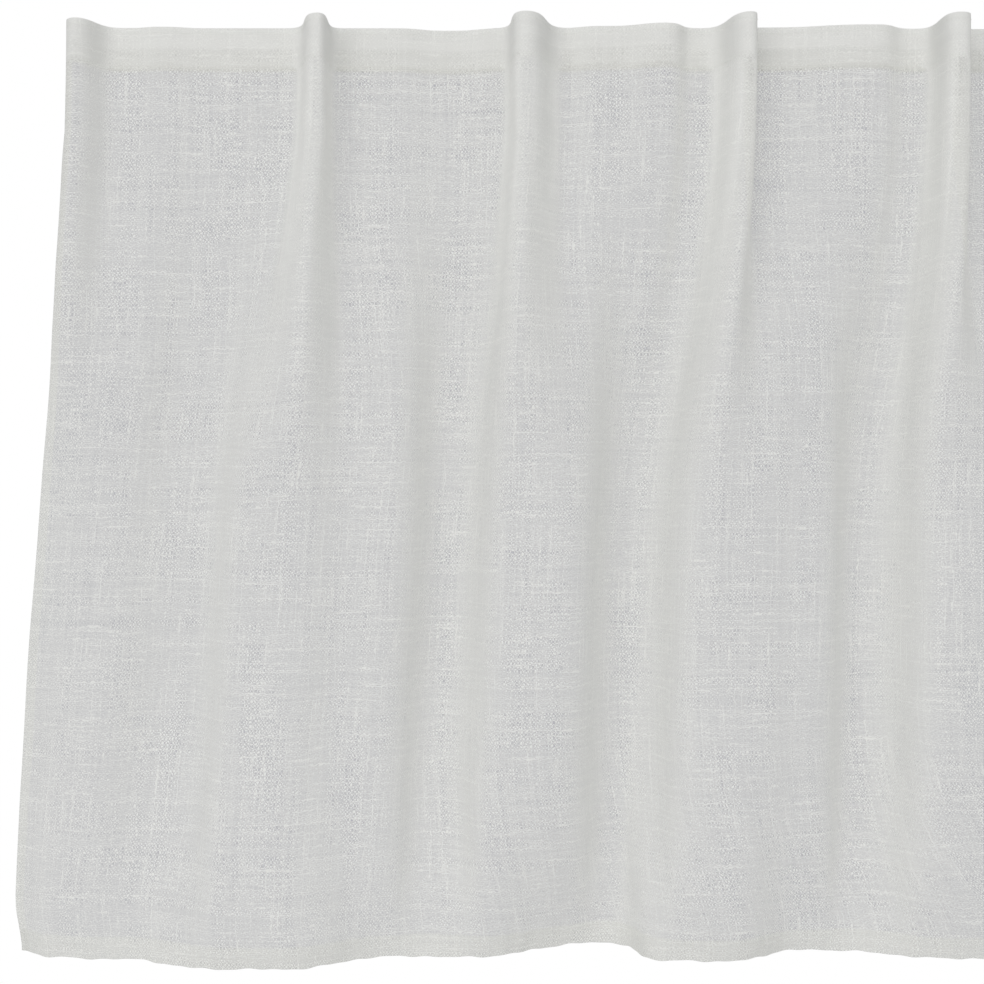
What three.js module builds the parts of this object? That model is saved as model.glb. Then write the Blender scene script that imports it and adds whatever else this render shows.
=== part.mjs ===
// Window valance: one width of sheer cloth hanging in eight narrow pleats, with a woven heading tape sewn
// across the back of its top edge. Millimetres, +Z up. The origin is the middle of the top edge, halfway
// through the cloth, in the flat stretch between the two middle pleats. The front of the cloth faces -Y.
import * as THREE from 'three';

// Driving sizes
const DROP = 500; // top edge to bottom edge
const CLOTH_THICKNESS = 1.2;
const HEM_DEPTH = 12; // the bottom hem is turned up by this much
const HEM_EXTRA = 0.7; // what the turned-up cloth adds behind
const HEM_LEDGE = 1.5; // height over which the hem's extra thickness begins
const TAPE_TOP = 1.5; // the tape starts this far below the top edge
const TAPE_BOTTOM = 23.5;
const TAPE_THICKNESS = 1;
const GAP = 0.43; // clearance between the cloth and the tape

// How the folds change on the way down
const STIFF_HEADING = 24; // the tape holds the pleats unchanged to here
const PLEATS_OPEN = 285; // here the pleats have opened into the broad folds
const FALL_STARTS = 330; // from here the folds start to settle towards those of the hem
const FALL_POWER = 2;
const HALF_WIDTHS = [
  // down, from the middle to either side edge
  [0, 530],
  [60, 530.5],
  [150, 537.8],
  [240, 546.5],
  [330, 553.8],
  [420, 560.4],
  [470, 564],
  [500, 564.2],
];

// Each lower corner is drawn in where the hem was turned up.
const CORNER_DRAWN_IN = 4;
const CORNER_HEIGHT = 26;
const CORNER_WIDTH = 22;

// Sampling
const LONG_STEPS = 1100; // fine steps along one row of cloth while it is worked out
const FLANK_STEPS = 40;
const LEVEL_STEPS = 20;
const FREE_ROWS = [75, 130, 190, 255, 320, 385, 440]; // between the heading and the hem
const HEM_ROWS = [DROP - HEM_DEPTH - HEM_LEDGE, DROP - HEM_DEPTH, DROP];
const ROWS_DOWN = [0, STIFF_HEADING, ...FREE_ROWS, ...HEM_ROWS];
const PLEAT_COLUMNS = 11;
const PLAIN_COLUMNS = 8;
const END_COLUMNS = 10;
const EDGE_COLUMNS = 3; // in the drawn-in width along each side

// Three level sections through the cloth: in the heading, where the folds hang free, and at the bottom edge.
// Each row is one ridge, from left to right: the left foot, the two edges of its crest, the right foot, how
// far the crest stands forward, and how far forward the cloth lies after it. All are measured from the
// middle of the heading and from its plane. A swell makes the right flank of a pleat lean over its own foot.
// The small ridges are slack cloth between the pleats. The cloth starts startsForward at its left edge, and
// rounding softens every bend.
const HEADING = {
  startsForward: 18,
  rounding: 3,
  ridges: [
    // leftFoot, leftCrest, rightCrest, rightFoot, forward, after, swell where it has its own
    [-529, -526, -524, -506, 23, 2],
    [-494, -486, -478, -462, 4.5, 1.5],
    [-411, -394.5, -393, -388, 32, 1.5, 0.8],
    [-352, -332, -322, -298, -3.5, 2],
    [-298, -287, -285, -264, 35, 2],
    [-262, -248, -240, -238, 6, 6],
    [-236, -211, -207, -195, 12.5, 1.5],
    [-187, -168, -166, -166, 34, 3, 2.4],
    [-150, -102, -93, -79, 9, 0.5],
    [-70, -60, -55, -52, 33, 0, 3],
    [45, 53, 59, 69, 35, 0],
    [88, 116, 124, 142, 6, 0],
    [149, 164, 168, 171, 36, 0, 2.6],
    [269, 278, 285, 295, 35, 0],
    [310, 341, 350, 370, 7, 0],
    [380, 391, 396, 403, 36, 0, 1.2],
    [496, 520, 524, 530, 23, 17],
  ],
};
const MIDDLE = {
  startsForward: -2,
  rounding: 8,
  ridges: [
    // leftFoot, leftCrest, rightCrest, rightFoot, forward, after
    [-546, -514, -506, -470, 9, -3],
    [-458, -428, -403, -372, 28, 15],
    [-368, -362, -354, -329, 21, -12],
    [-322, -293, -259, -231, 27, -16],
    [-222, -188, -158, -138, 28, 20],
    [-136, -132, -127, -104, 21, -14],
    [-94, -66, -42, -28, 27, 21],
    [-27, -23, -17, 10, 22, -13],
    [28, 48, 80, 112, 27, -15],
    [131, 158, 186, 214, 28, -12],
    [243, 266, 286, 306, 28, 18],
    [310, 314, 322, 344, 20, -13],
    [356, 382, 424, 462, 27, -7],
    [490, 520, 528, 546, 8, 3],
  ],
};
const HEM = {
  startsForward: -2,
  rounding: 5,
  ridges: [
    // leftFoot, leftCrest, rightCrest, rightFoot, forward, after
    [-562, -538, -532, -524, 11, 14],
    [-508, -446, -410, -356, 34, 9],
    [-340, -330, -314, -244, 11, -18],
    [-238, -212, -178, -136, 19, -3],
    [-130, -52, -34, 0, 14, -14],
    [8, 38, 64, 104, 27, -18],
    [112, 142, 176, 214, 24, -22],
    [222, 252, 296, 340, 27, -8],
    [350, 396, 436, 500, 30, 6],
    [516, 540, 546, 565, 9, -9],
  ],
};
const OWN_SWELL = 0.04; // every flank bows by this share of its height
const PLEAT_FORWARD = 30; // a heading ridge that stands further forward than this is a pleat

const mix = (a, b, t) => a + (b - a) * t;
const mixPoint = (p, q, t) => ({ x: mix(p.x, q.x, t), forward: mix(p.forward, q.forward, t) });
const clamp01 = (t) => Math.min(Math.max(t, 0), 1);
const smooth = (t) => clamp01(t) ** 2 * (3 - 2 * clamp01(t));

// One flank of a ridge: an S from one height to another, level at both ends.
function flank(from, to, swell) {
  const points = [];
  for (let i = 0; i < FLANK_STEPS; i += 1) {
    const t = i / FLANK_STEPS;
    points.push({
      x: mix(from.x, to.x, t) + swell * Math.sin(2 * Math.PI * t),
      forward: mix(from.forward, to.forward, (1 - Math.cos(Math.PI * t)) / 2),
    });
  }
  return points;
}

// A level stretch of cloth, on a crest or between two feet.
function level(fromX, toX, forward) {
  const points = [];
  for (let i = 0; i < LEVEL_STEPS; i += 1) {
    points.push({ x: mix(fromX, toX, i / LEVEL_STEPS), forward });
  }
  return points;
}

// The line of a whole section, with the stretch that each pleat takes up along it.
function section({ startsForward, ridges }) {
  const points = [];
  const pleats = [];
  let x = ridges[0][0];
  let lies = startsForward;
  for (const [leftFoot, leftCrest, rightCrest, rightFoot, forward, after, swell] of ridges) {
    points.push(...level(x, leftFoot, lies));
    const first = points.length;
    const leftSwell = OWN_SWELL * (forward - lies);
    points.push(...flank({ x: leftFoot, forward: lies }, { x: leftCrest, forward }, leftSwell));
    points.push(...level(leftCrest, rightCrest, forward));
    const rightSwell = swell ?? OWN_SWELL * (forward - after);
    points.push(...flank({ x: rightCrest, forward }, { x: rightFoot, forward: after }, rightSwell));
    if (forward > PLEAT_FORWARD) pleats.push([first, points.length]);
    x = rightFoot;
    lies = after;
  }
  points.push({ x, forward: lies });
  return { points, pleats };
}

// Length of cloth from the left edge to each point of a line.
function lengthsAlong(points) {
  const lengths = [0];
  for (let i = 1; i < points.length; i += 1) {
    const step = Math.hypot(points[i].x - points[i - 1].x, points[i].forward - points[i - 1].forward);
    lengths.push(lengths[i - 1] + step);
  }
  return lengths;
}

// A line read at rising values of one of its measures, such as its length or its place across.
function readAlong(points, measures, values) {
  const read = [];
  let i = 1;
  for (const value of values) {
    while (i < points.length - 1 && measures[i] < value) i += 1;
    const span = measures[i] - measures[i - 1];
    const t = span > 0 ? clamp01((value - measures[i - 1]) / span) : 0;
    read.push(mixPoint(points[i - 1], points[i], t));
  }
  return read;
}

const EVENLY = Array.from({ length: LONG_STEPS + 1 }, (_, i) => i / LONG_STEPS);

// The same line in even steps of length.
function spacedByLength(points, shares = EVENLY) {
  const lengths = lengthsAlong(points);
  const total = lengths.at(-1);
  return readAlong(points, lengths, shares.map((share) => share * total));
}

// The same line in even steps from side to side, for a section that never turns back on itself.
function spacedAcross(points) {
  const places = points.map((point) => point.x);
  return readAlong(points, places, EVENLY.map((share) => mix(places[0], places.at(-1), share)));
}

// Rounds a line by averaging it twice over its neighbours; both ends keep their place.
function rounded(points, reach) {
  let line = spacedByLength(points);
  const wide = Math.round(reach / (lengthsAlong(line).at(-1) / LONG_STEPS));
  for (let pass = 0; pass < 2; pass += 1) {
    const before = line;
    line = before.map((_, i) => {
      const near = Math.min(wide, i, before.length - 1 - i);
      const sum = { x: 0, forward: 0 };
      for (let k = i - near; k <= i + near; k += 1) {
        sum.x += before[k].x;
        sum.forward += before[k].forward;
      }
      return { x: sum.x / (2 * near + 1), forward: sum.forward / (2 * near + 1) };
    });
  }
  return line;
}

const headingSection = section(HEADING);
const headingLine = spacedByLength(rounded(headingSection.points, HEADING.rounding));
const middleLine = spacedAcross(rounded(section(MIDDLE).points, MIDDLE.rounding));
const hemLine = spacedAcross(rounded(section(HEM).points, HEM.rounding));
const lengthOf = (line) => lengthsAlong(line).at(-1);
const HEADING_LENGTH = lengthOf(headingLine);
const MIDDLE_LENGTH = lengthOf(middleLine);
const HEM_LENGTH = lengthOf(hemLine);

// Half the width of the hanging cloth at a distance below the top edge.
function halfWidth(down) {
  const next = Math.max(HALF_WIDTHS.findIndex(([height]) => height >= down), 1);
  const [above, wide] = HALF_WIDTHS[next - 1];
  const [below, wider] = HALF_WIDTHS[next];
  return mix(wide, wider, (down - above) / (below - above));
}

// How far a place is drawn in at a lower corner, most at the very edge.
const drawnIn = (down, fromEdge) =>
  CORNER_DRAWN_IN *
  smooth((down - (DROP - CORNER_HEIGHT)) / CORNER_HEIGHT) *
  clamp01(1 - fromEdge / CORNER_WIDTH) ** 2;

// One level row of the cloth at a distance below the top edge. Below the heading each thread moves from its
// place in the pleats to its place in the broad folds, and the row swings out until it is as long as the
// cloth in it. Then it is spread to its width and its corners are drawn in.
function rowAt(down) {
  const opened = smooth((down - STIFF_HEADING) / (PLEATS_OPEN - STIFF_HEADING));
  const fallen = clamp01((down - FALL_STARTS) / (DROP - FALL_STARTS)) ** FALL_POWER;
  const folds = spacedByLength(middleLine.map((point, i) => mixPoint(point, hemLine[i], fallen)));
  const row = headingLine.map((point, i) => mixPoint(point, folds[i], opened));
  const wanted = mix(mix(HEADING_LENGTH, MIDDLE_LENGTH, opened), HEM_LENGTH, fallen);
  const swungOut = (swing) => row.map(({ x, forward }) => ({ x, forward: forward * swing }));
  let least = 0.5;
  let most = 2.5;
  while (most - least > 0.0005) {
    const swing = (least + most) / 2;
    if (lengthOf(swungOut(swing)) < wanted) least = swing;
    else most = swing;
  }
  const half = halfWidth(down);
  return swungOut(least).map(({ x, forward }) => {
    const placed = x * (half / row.at(-1).x);
    return { x: placed + drawnIn(down, placed + half) - drawnIn(down, half - placed), forward };
  });
}

// Columns of the mesh, as shares of the cloth's width, close together in the pleats.
function columnShares() {
  const lengths = lengthsAlong(headingSection.points);
  const stops = [0];
  const add = (to, count) => {
    const from = stops.at(-1);
    for (let i = 1; i <= count; i += 1) stops.push(mix(from, to, i / count));
  };
  const edge = CORNER_WIDTH / HEADING_LENGTH;
  add(edge, EDGE_COLUMNS);
  headingSection.pleats.forEach(([first, last], i) => {
    add(lengths[first] / lengths.at(-1), i === 0 ? END_COLUMNS : PLAIN_COLUMNS);
    add(lengths[last] / lengths.at(-1), PLEAT_COLUMNS);
  });
  add(1 - edge, END_COLUMNS);
  add(1, EDGE_COLUMNS);
  return stops;
}

const SHARES = columnShares();

// A row moved off the middle of the cloth by a distance towards the front, as points in space.
function offsetRow(down, towardsFront) {
  const line = spacedByLength(rowAt(down), SHARES);
  return line.map((point, i) => {
    const before = line[Math.max(i - 1, 0)];
    const after = line[Math.min(i + 1, line.length - 1)];
    const along = Math.hypot(after.x - before.x, after.forward - before.forward);
    const outX = -(after.forward - before.forward) / along;
    const outForward = (after.x - before.x) / along;
    const forward = point.forward + outForward * towardsFront;
    return [point.x + outX * towardsFront, -forward, -down];
  });
}

// A closed sheet between a front and a back surface, each given as rows of points from the top down.
function sheetGeometry(fronts, backs) {
  const columns = fronts[0].length;
  const rows = fronts.length;
  const positions = [...fronts, ...backs].flat(2);
  const front = (row, column) => row * columns + column;
  const back = (row, column) => (rows + row) * columns + column;
  const indices = [];
  const quad = (a, b, c, d) => indices.push(a, b, c, a, c, d);
  for (let row = 0; row < rows - 1; row += 1) {
    const below = row + 1;
    for (let column = 0; column < columns - 1; column += 1) {
      const next = column + 1;
      quad(front(row, column), front(below, column), front(below, next), front(row, next));
      quad(back(row, column), back(row, next), back(below, next), back(below, column));
    }
    const end = columns - 1;
    quad(front(row, 0), back(row, 0), back(below, 0), front(below, 0));
    quad(front(row, end), front(below, end), back(below, end), back(row, end));
  }
  for (let column = 0; column < columns - 1; column += 1) {
    const foot = rows - 1;
    const next = column + 1;
    quad(front(0, column), front(0, next), back(0, next), back(0, column));
    quad(front(foot, column), back(foot, column), back(foot, next), front(foot, next));
  }
  const geometry = new THREE.BufferGeometry();
  geometry.setAttribute('position', new THREE.Float32BufferAttribute(positions, 3));
  geometry.setIndex(indices);
  geometry.computeVertexNormals();
  return geometry;
}

function valancePanel() {
  const half = CLOTH_THICKNESS / 2;
  const behind = (down) => half + (down > DROP - HEM_DEPTH - HEM_LEDGE / 2 ? HEM_EXTRA : 0);
  const fronts = ROWS_DOWN.map((down) => offsetRow(down, half));
  const backs = ROWS_DOWN.map((down) => offsetRow(down, -behind(down)));
  const cloth = new THREE.MeshStandardMaterial({ color: 0xdad9d4, roughness: 0.95, metalness: 0 });
  const panel = new THREE.Mesh(sheetGeometry(fronts, backs), cloth);
  panel.name = 'valance_panel';
  return panel;
}

function headingTape() {
  const near = CLOTH_THICKNESS / 2 + GAP;
  const far = near + TAPE_THICKNESS;
  const fronts = [TAPE_TOP, TAPE_BOTTOM].map((down) => offsetRow(down, -near));
  const backs = [TAPE_TOP, TAPE_BOTTOM].map((down) => offsetRow(down, -far));
  const woven = new THREE.MeshStandardMaterial({ color: 0xe4e3dc, roughness: 0.9, metalness: 0 });
  const tape = new THREE.Mesh(sheetGeometry(fronts, backs), woven);
  tape.name = 'heading_tape';
  return tape;
}

const valance = new THREE.Group();
valance.add(valancePanel(), headingTape());

export default valance;
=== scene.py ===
"""Makes a window valance: one width of sheer slub cloth hanging in eight narrow pleats, with its turned hems,
the woven tape across the back of its heading and the sewing that holds them, on a plain pale stage."""

import math

import bpy
import numpy as np
from bpy.props import FloatProperty, FloatVectorProperty, PointerProperty
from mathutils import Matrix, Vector


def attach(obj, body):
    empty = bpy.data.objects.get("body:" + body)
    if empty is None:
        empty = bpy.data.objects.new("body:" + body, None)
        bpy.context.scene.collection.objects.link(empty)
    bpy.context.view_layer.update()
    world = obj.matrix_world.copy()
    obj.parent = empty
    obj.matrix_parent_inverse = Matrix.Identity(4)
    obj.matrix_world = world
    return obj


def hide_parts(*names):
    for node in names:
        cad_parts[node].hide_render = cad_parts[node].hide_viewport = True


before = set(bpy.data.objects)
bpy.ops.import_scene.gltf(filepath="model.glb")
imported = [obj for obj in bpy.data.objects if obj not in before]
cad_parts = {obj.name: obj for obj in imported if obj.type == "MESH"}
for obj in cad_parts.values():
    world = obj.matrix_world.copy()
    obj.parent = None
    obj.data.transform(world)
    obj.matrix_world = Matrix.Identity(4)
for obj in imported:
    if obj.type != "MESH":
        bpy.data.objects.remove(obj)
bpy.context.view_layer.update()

bl_info = {
    "name": "Window valance",
    "version": (1, 0, 0),
    "blender": (4, 5, 0),
    "location": "View3D > Sidebar > Valance",
    "description": "Makes a pleated sheer valance with its heading tape and sewing",
    "category": "Object",
}


ROOT = "root"
PANEL_NODE = "valance_panel"
TAPE_NODE = "heading_tape"
PANEL = "valance_cloth"
TAPE = "heading_tape_woven"
SEWING = "valance_stitching"
CLOTH_SLOT = "sheer_cloth"
CLOSENESS = "closeness"
TAPE_SLOT = "woven_tape"
FLAT_MAP = "flat_cut"
MM = 0.001

# The folds, in millimetres. Three level sections through the cloth: in the heading, where the folds hang
# free, and at the bottom edge. Each row of a table is one ridge, and the rows run from left to right. A swell
# is given where the right flank of a pleat leans over its own foot.
HEADING = {
    "starts_forward": 18,
    "rounding": 3,
    "ridges": (
        # left foot, crest's left edge, crest's right edge, right foot, forward, forward after it, swell
        (-529, -526, -524, -506, 23, 2),
        (-494, -486, -478, -462, 4.5, 1.5),
        (-411, -394.5, -393, -388, 32, 1.5, 0.8),
        (-352, -332, -322, -298, -3.5, 2),
        (-298, -287, -285, -264, 35, 2),
        (-262, -248, -240, -238, 6, 6),
        (-236, -211, -207, -195, 12.5, 1.5),
        (-187, -168, -166, -166, 34, 3, 2.4),
        (-150, -102, -93, -79, 9, 0.5),
        (-70, -60, -55, -52, 33, 0, 3),
        (45, 53, 59, 69, 35, 0),
        (88, 116, 124, 142, 6, 0),
        (149, 164, 168, 171, 36, 0, 2.6),
        (269, 278, 285, 295, 35, 0),
        (310, 341, 350, 370, 7, 0),
        (380, 391, 396, 403, 36, 0, 1.2),
        (496, 520, 524, 530, 23, 17),
    ),
}
MIDDLE = {
    "starts_forward": -2,
    "rounding": 8,
    "ridges": (
        # left foot, crest's left edge, crest's right edge, right foot, forward, forward after it
        (-546, -514, -506, -470, 9, -3),
        (-458, -428, -403, -372, 28, 15),
        (-368, -362, -354, -329, 21, -12),
        (-322, -293, -259, -231, 27, -16),
        (-222, -188, -158, -138, 28, 20),
        (-136, -132, -127, -104, 21, -14),
        (-94, -66, -42, -28, 27, 21),
        (-27, -23, -17, 10, 22, -13),
        (28, 48, 80, 112, 27, -15),
        (131, 158, 186, 214, 28, -12),
        (243, 266, 286, 306, 28, 18),
        (310, 314, 322, 344, 20, -13),
        (356, 382, 424, 462, 27, -7),
        (490, 520, 528, 546, 8, 3),
    ),
}
HEM = {
    "starts_forward": -2,
    "rounding": 5,
    "ridges": (
        # left foot, crest's left edge, crest's right edge, right foot, forward, forward after it
        (-562, -538, -532, -524, 11, 14),
        (-508, -446, -410, -356, 34, 9),
        (-340, -330, -314, -244, 11, -18),
        (-238, -212, -178, -136, 19, -3),
        (-130, -52, -34, 0, 14, -14),
        (8, 38, 64, 104, 27, -18),
        (112, 142, 176, 214, 24, -22),
        (222, 252, 296, 340, 27, -8),
        (350, 396, 436, 500, 30, 6),
        (516, 540, 546, 565, 9, -9),
    ),
}
OWN_SWELL = 0.04  # every flank bows by this share of its height
PLEAT_FORWARD = 30  # a heading ridge that stands further forward than this is a pleat
DROP = 500
STIFF_HEADING = 24  # the tape holds the pleats unchanged to here
PLEATS_OPEN = 285  # here the pleats have opened into the broad folds
FALL_STARTS = 330  # from here the folds start to settle towards those of the hem
FALL_POWER = 2
HALF_WIDTHS = (
    # down, from the middle to either side edge
    (0, 530),
    (60, 530.5),
    (150, 537.8),
    (240, 546.5),
    (330, 553.8),
    (420, 560.4),
    (470, 564),
    (500, 564.2),
)
CORNER_DRAWN_IN = 4  # each lower corner is drawn in where the hem was turned up
CORNER_HEIGHT = 26
CORNER_WIDTH = 22
LONG_STEPS = 1100  # fine steps along one row of cloth while it is worked out
FLANK_STEPS = 40
LEVEL_STEPS = 20
LEAST_SWING, MOST_SWING = 0.5, 2.5  # the swing that gives a row its length is looked for between these
SWING_ERROR = 0.0005


def smooth(t):
    """An S from 0 to 1, level at both ends."""
    t = np.clip(t, 0.0, 1.0)
    return t * t * (3 - 2 * t)


def mixed(a, b, t):
    return a + (b - a) * t


def flank(start, end, swell):
    """One flank of a ridge: an S from one height to another."""
    t = np.arange(FLANK_STEPS) / FLANK_STEPS
    across = mixed(start[0], end[0], t) + swell * np.sin(2 * np.pi * t)
    forward = mixed(start[1], end[1], (1 - np.cos(np.pi * t)) / 2)
    return np.column_stack([across, forward])


def level(start, end, forward):
    """A level stretch of cloth, on a crest or between two feet."""
    t = np.arange(LEVEL_STEPS) / LEVEL_STEPS
    return np.column_stack([mixed(start, end, t), np.full(LEVEL_STEPS, float(forward))])


def section(table):
    """The line of a whole section, and the first and last point of each pleat along it."""
    lines = []
    pleats = []
    place = table["ridges"][0][0]
    lies = table["starts_forward"]
    for left_foot, left_crest, right_crest, right_foot, forward, after, *own in table["ridges"]:
        lines.append(level(place, left_foot, lies))
        first = sum(map(len, lines))
        lines.append(flank((left_foot, lies), (left_crest, forward), OWN_SWELL * (forward - lies)))
        lines.append(level(left_crest, right_crest, forward))
        swell = own[0] if own else OWN_SWELL * (forward - after)
        lines.append(flank((right_crest, forward), (right_foot, after), swell))
        if forward > PLEAT_FORWARD:
            pleats.append((first, sum(map(len, lines))))
        place, lies = right_foot, after
    lines.append(np.array([[place, lies]], float))
    return np.concatenate(lines), pleats


def lengths_along(line):
    """Length of cloth from the left edge to each point of a line."""
    steps = np.hypot(*np.diff(line, axis=0).T)
    return np.concatenate([[0.0], np.cumsum(steps)])


def spaced_by_length(line):
    """The same line in even steps of its length."""
    lengths = lengths_along(line)
    places = np.linspace(0, 1, LONG_STEPS + 1) * lengths[-1]
    return np.column_stack([np.interp(places, lengths, part) for part in line.T])


def spaced_across(line):
    """The same line in even steps from side to side."""
    places = np.linspace(line[0, 0], line[-1, 0], LONG_STEPS + 1)
    return np.column_stack([places, np.interp(places, line[:, 0], line[:, 1])])


def rounded(line, reach):
    """Rounds a line by averaging it twice over its neighbours; both ends keep their place."""
    line = spaced_by_length(line)
    wide = round(reach / (lengths_along(line)[-1] / LONG_STEPS))
    spots = np.arange(len(line))
    near = np.minimum(wide, np.minimum(spots, len(line) - 1 - spots))
    for _ in range(2):
        sums = np.concatenate([[[0.0, 0.0]], np.cumsum(line, axis=0)])
        line = (sums[spots + near + 1] - sums[spots - near]) / (2 * near + 1)[:, None]
    return line


HEADING_SECTION, PLEATS = section(HEADING)
HEADING_LINE = spaced_by_length(rounded(HEADING_SECTION, HEADING["rounding"]))
MIDDLE_LINE = spaced_across(rounded(section(MIDDLE)[0], MIDDLE["rounding"]))
HEM_LINE = spaced_across(rounded(section(HEM)[0], HEM["rounding"]))
HEADING_LENGTH = lengths_along(HEADING_LINE)[-1]
MIDDLE_LENGTH = lengths_along(MIDDLE_LINE)[-1]
HEM_LENGTH = lengths_along(HEM_LINE)[-1]


def drawn_in(down, from_edge):
    """How far places are drawn in at a lower corner, most at the very edge."""
    low = smooth((down - (DROP - CORNER_HEIGHT)) / CORNER_HEIGHT)
    return CORNER_DRAWN_IN * low * np.clip(1 - from_edge / CORNER_WIDTH, 0, 1) ** 2


def row_at(down):
    """One level row of the cloth. Below the heading each thread moves from its place in the pleats to its
    place in the broad folds, and the row swings out until it is as long as the cloth in it. Then it is spread
    to its width and its corners are drawn in."""
    opened = smooth((down - STIFF_HEADING) / (PLEATS_OPEN - STIFF_HEADING))
    fallen = np.clip((down - FALL_STARTS) / (DROP - FALL_STARTS), 0, 1) ** FALL_POWER
    folds = spaced_by_length(mixed(MIDDLE_LINE, HEM_LINE, fallen))
    row = mixed(HEADING_LINE, folds, opened)
    wanted = mixed(mixed(HEADING_LENGTH, MIDDLE_LENGTH, opened), HEM_LENGTH, fallen)
    least, most = LEAST_SWING, MOST_SWING
    while most - least > SWING_ERROR:
        swing = (least + most) / 2
        if lengths_along(row * (1, swing))[-1] < wanted:
            least = swing
        else:
            most = swing
    half = np.interp(down, *np.transpose(HALF_WIDTHS))
    across = row[:, 0] * (half / row[-1, 0])
    across = across + drawn_in(down, across + half) - drawn_in(down, half - across)
    return np.column_stack([across, row[:, 1] * least])


def hanging(shares, downs):
    """Points of the cloth for each share of its width and each distance down, and the way it faces there."""
    points, facing = [], []
    for down in downs:
        row = spaced_by_length(row_at(down))
        outward = np.gradient(row, axis=0)
        outward = np.column_stack([-outward[:, 1], outward[:, 0]])
        outward /= np.linalg.norm(outward, axis=1)[:, None]
        along = np.linspace(0, 1, len(row))
        at = [np.interp(shares, along, part) for part in (*row.T, *outward.T)]
        points.append(np.column_stack([at[0], -at[1], np.full(len(shares), -float(down))]))
        facing.append(np.column_stack([at[2], -at[3], np.zeros(len(shares))]))
    return np.array(points), np.array(facing)


# Soft creases and slack in the cloth, in millimetres: across is measured along the flat cloth from its left
# edge and down from the top edge. A crease with a negative height is a trough.
CREASES = (
    # across, down, length, lean in degrees, width, height
    (96, 215, 190, 4, 16, 1.0),
    (300, 150, 150, -9, 12, -0.9),
    (356, 330, 170, 6, 14, 0.8),
    (505, 290, 210, -5, 15, -0.9),
    (640, 200, 140, 10, 12, 0.8),
    (732, 330, 190, -3, 14, -0.8),
    (905, 240, 200, 5, 15, 0.9),
    (1060, 310, 180, -7, 13, -0.8),
    (1210, 190, 150, 8, 12, 0.8),
    (1330, 330, 180, -4, 15, 0.9),
    (1450, 240, 200, 3, 16, -1.0),
)
SLACK_WAVES = (
    # wavelength across, wavelength down, start across, start down, height
    (118.0, 310.0, 0.4, 1.9, 0.55),
    (61.0, 170.0, 2.2, 0.3, 0.32),
    (37.0, 240.0, 4.1, 2.6, 0.2),
    (210.0, 96.0, 1.3, 4.4, 0.3),
)
SLACK_SWELL = 0.5  # the slack waves swell and fade by this share of their height
SLACK_STARTS_OVER = 60  # slack and creases come in over this length below the heading
PUCKER_REACH = 7  # how far the puckers reach above and below the hem's seam
PUCKER_WAVES = (
    # wavelength, start, height
    (17.0, 0.7, 0.16),
    (11.3, 2.9, 0.1),
    (29.0, 4.2, 0.14),
)
EDGE_WAVES = (
    # wavelength, start, height
    (23.0, 1.1, 0.22),
    (13.7, 3.3, 0.16),
    (41.0, 5.2, 0.25),
)

# How far the holes between the threads are closed up, from 0 to 1, and lengths in millimetres
SHUT_AT = math.radians(75)  # cloth turned this far aside is closed up as far as it goes
SHUT_ASIDE = 0.6
SHUT_TURNED = 0.85  # where the heading is turned down over the tape
SHUT_TAPED = 0.7  # where it only lies on the tape
SHUT_HEMMED = 0.1
SHUT_PLEATED = 0.62
PRESSED_DEPTH = 220  # the pleats' pressure fades over this length below the heading
PRESSED_SIDE = 6  # and comes in over this width of cloth inside each foot of a pleat
TURN_FADE = 2  # the turned-down cloth gives way to the single cloth over this height
TAPED_ABOVE = 3  # the taped cloth starts to open this far above the lower edge of the stiff heading
TAPED_FADE = 4  # and opens over this height
HEMMED_FADE = 1.5


def unevenness(flat_across, down, hem_seam):
    """How far the cloth stands off its smooth folds. The tape holds the heading still."""
    across, down = np.meshgrid(flat_across, down)
    rise = np.zeros(across.shape)
    for wave_across, wave_down, start_across, start_down, height in SLACK_WAVES:
        sway = np.sin(2 * np.pi * down / wave_down + start_down)
        waves = np.sin(2 * np.pi * across / wave_across + start_across + sway)
        rise += height * waves * (1 + SLACK_SWELL * sway)
    for middle, middle_down, length, lean, width, height in CREASES:
        turn = math.radians(lean)
        beside = (across - middle) * math.cos(turn) - (down - middle_down) * math.sin(turn)
        along = (across - middle) * math.sin(turn) + (down - middle_down) * math.cos(turn)
        rise += height * np.exp(-((beside / width) ** 2) - (along / (length / 2)) ** 2)
    rise *= smooth((down - STIFF_HEADING) / SLACK_STARTS_OVER)
    for wave, start, height in PUCKER_WAVES:
        near_seam = np.exp(-(((down - hem_seam) / PUCKER_REACH) ** 2))
        rise += height * np.sin(2 * np.pi * across / wave + start) * near_seam
    return rise


def edge_waves(place):
    """How far the hem's edge dips below its line at each place across the cloth."""
    return sum(height * np.sin(2 * np.pi * place / wave + start) for wave, start, height in EDGE_WAVES)


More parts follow.
